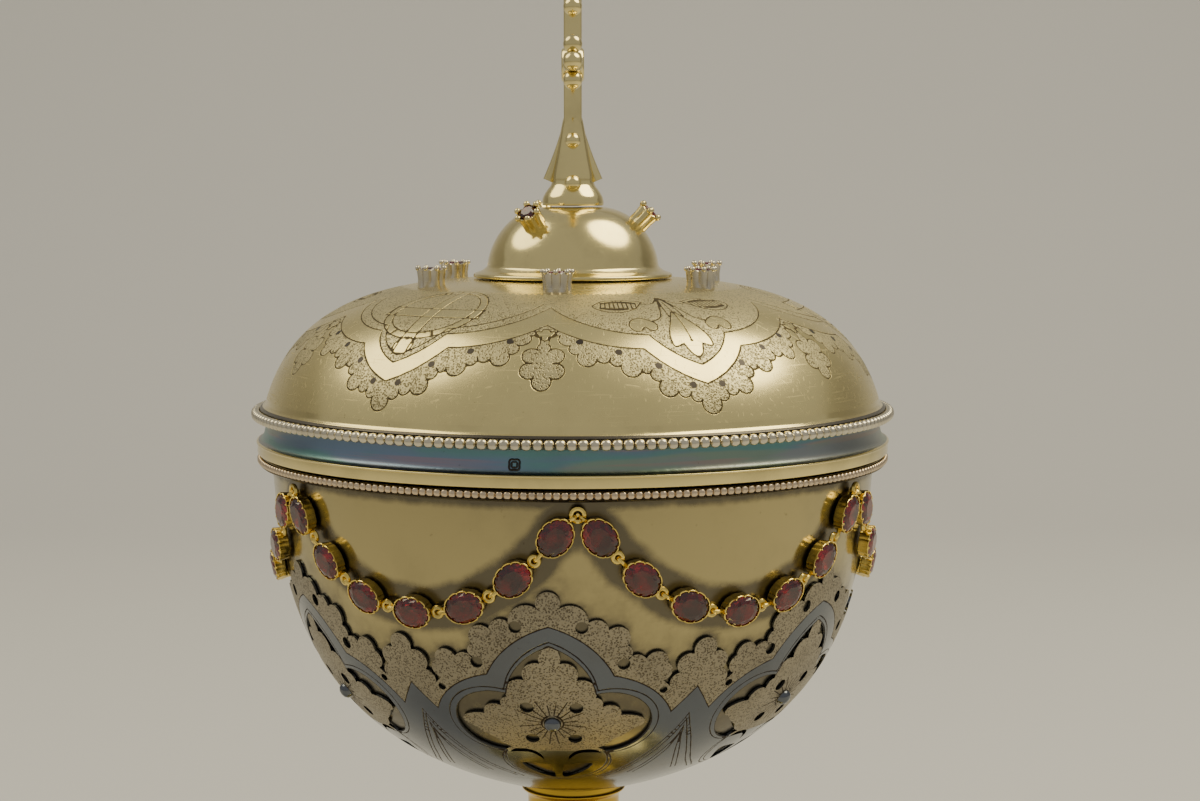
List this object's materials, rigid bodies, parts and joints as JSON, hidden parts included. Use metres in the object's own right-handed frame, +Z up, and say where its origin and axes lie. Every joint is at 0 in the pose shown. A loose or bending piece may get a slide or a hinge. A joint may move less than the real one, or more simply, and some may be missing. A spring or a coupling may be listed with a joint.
{
  "type": "ciborium",
  "caption": "Silver-gilt ciborium with a domed lid, a cross finial, a pierced calyx on the bowl and a garland of garnets.",
  "frame": {"origin": "centre of the foot's underside, on the surface that the ciborium stands on", "axes": "+Z up along the vessel's axis, X along the arms of the cross, Y across its two faces"},
  "size_m": [0.12, 0.12, 0.2615],
  "materials": {
    "pale_gilt": "polished silver-gilt, worn pale",
    "deep_gilt": "polished deep gilding",
    "worn_gilt": "stippled and polished, gilding worn to silver",
    "gold": "polished gold",
    "garnet": "polished dark red stone"
  },
  "bodies": {
    "root": {"foot": "pale_gilt", "cup": "pale_gilt", "lid": "pale_gilt", "lid_boss": "pale_gilt", "cross_finial": "pale_gilt", "knop": "deep_gilt", "collar": "deep_gilt", "calyx": "worn_gilt", "garland": "gold", "garland_garnet_1_1": "garnet", "garland_garnet_1_2": "garnet", "garland_garnet_1_3": "garnet", "garland_garnet_1_4": "garnet", "garland_garnet_1_5": "garnet", "garland_garnet_1_6": "garnet", "garland_garnet_1_7": "garnet", "garland_garnet_2_1": "garnet", "garland_garnet_2_2": "garnet", "garland_garnet_2_3": "garnet", "garland_garnet_2_4": "garnet", "garland_garnet_2_5": "garnet", "garland_garnet_2_6": "garnet", "garland_garnet_2_7": "garnet", "garland_garnet_3_1": "garnet", "garland_garnet_3_2": "garnet", "garland_garnet_3_3": "garnet", "garland_garnet_3_4": "garnet", "garland_garnet_3_5": "garnet", "garland_garnet_3_6": "garnet", "garland_garnet_3_7": "garnet", "garland_garnet_4_1": "garnet", "garland_garnet_4_2": "garnet", "garland_garnet_4_3": "garnet", "garland_garnet_4_4": "garnet", "garland_garnet_4_5": "garnet", "garland_garnet_4_6": "garnet", "garland_garnet_4_7": "garnet", "garland_garnet_5_1": "garnet", "garland_garnet_5_2": "garnet", "garland_garnet_5_3": "garnet", "garland_garnet_5_4": "garnet", "garland_garnet_5_5": "garnet", "garland_garnet_5_6": "garnet", "garland_garnet_5_7": "garnet", "garland_garnet_6_1": "garnet", "garland_garnet_6_2": "garnet", "garland_garnet_6_3": "garnet", "garland_garnet_6_4": "garnet", "garland_garnet_6_5": "garnet", "garland_garnet_6_6": "garnet", "garland_garnet_6_7": "garnet", "lid_garnet_1": "garnet", "lid_garnet_2": "garnet", "lid_garnet_3": "garnet", "lid_garnet_4": "garnet", "lid_garnet_5": "garnet", "lid_garnet_6": "garnet", "boss_garnet_1": "garnet", "boss_garnet_2": "garnet", "boss_garnet_3": "garnet"}
  },
  "joints": []
}
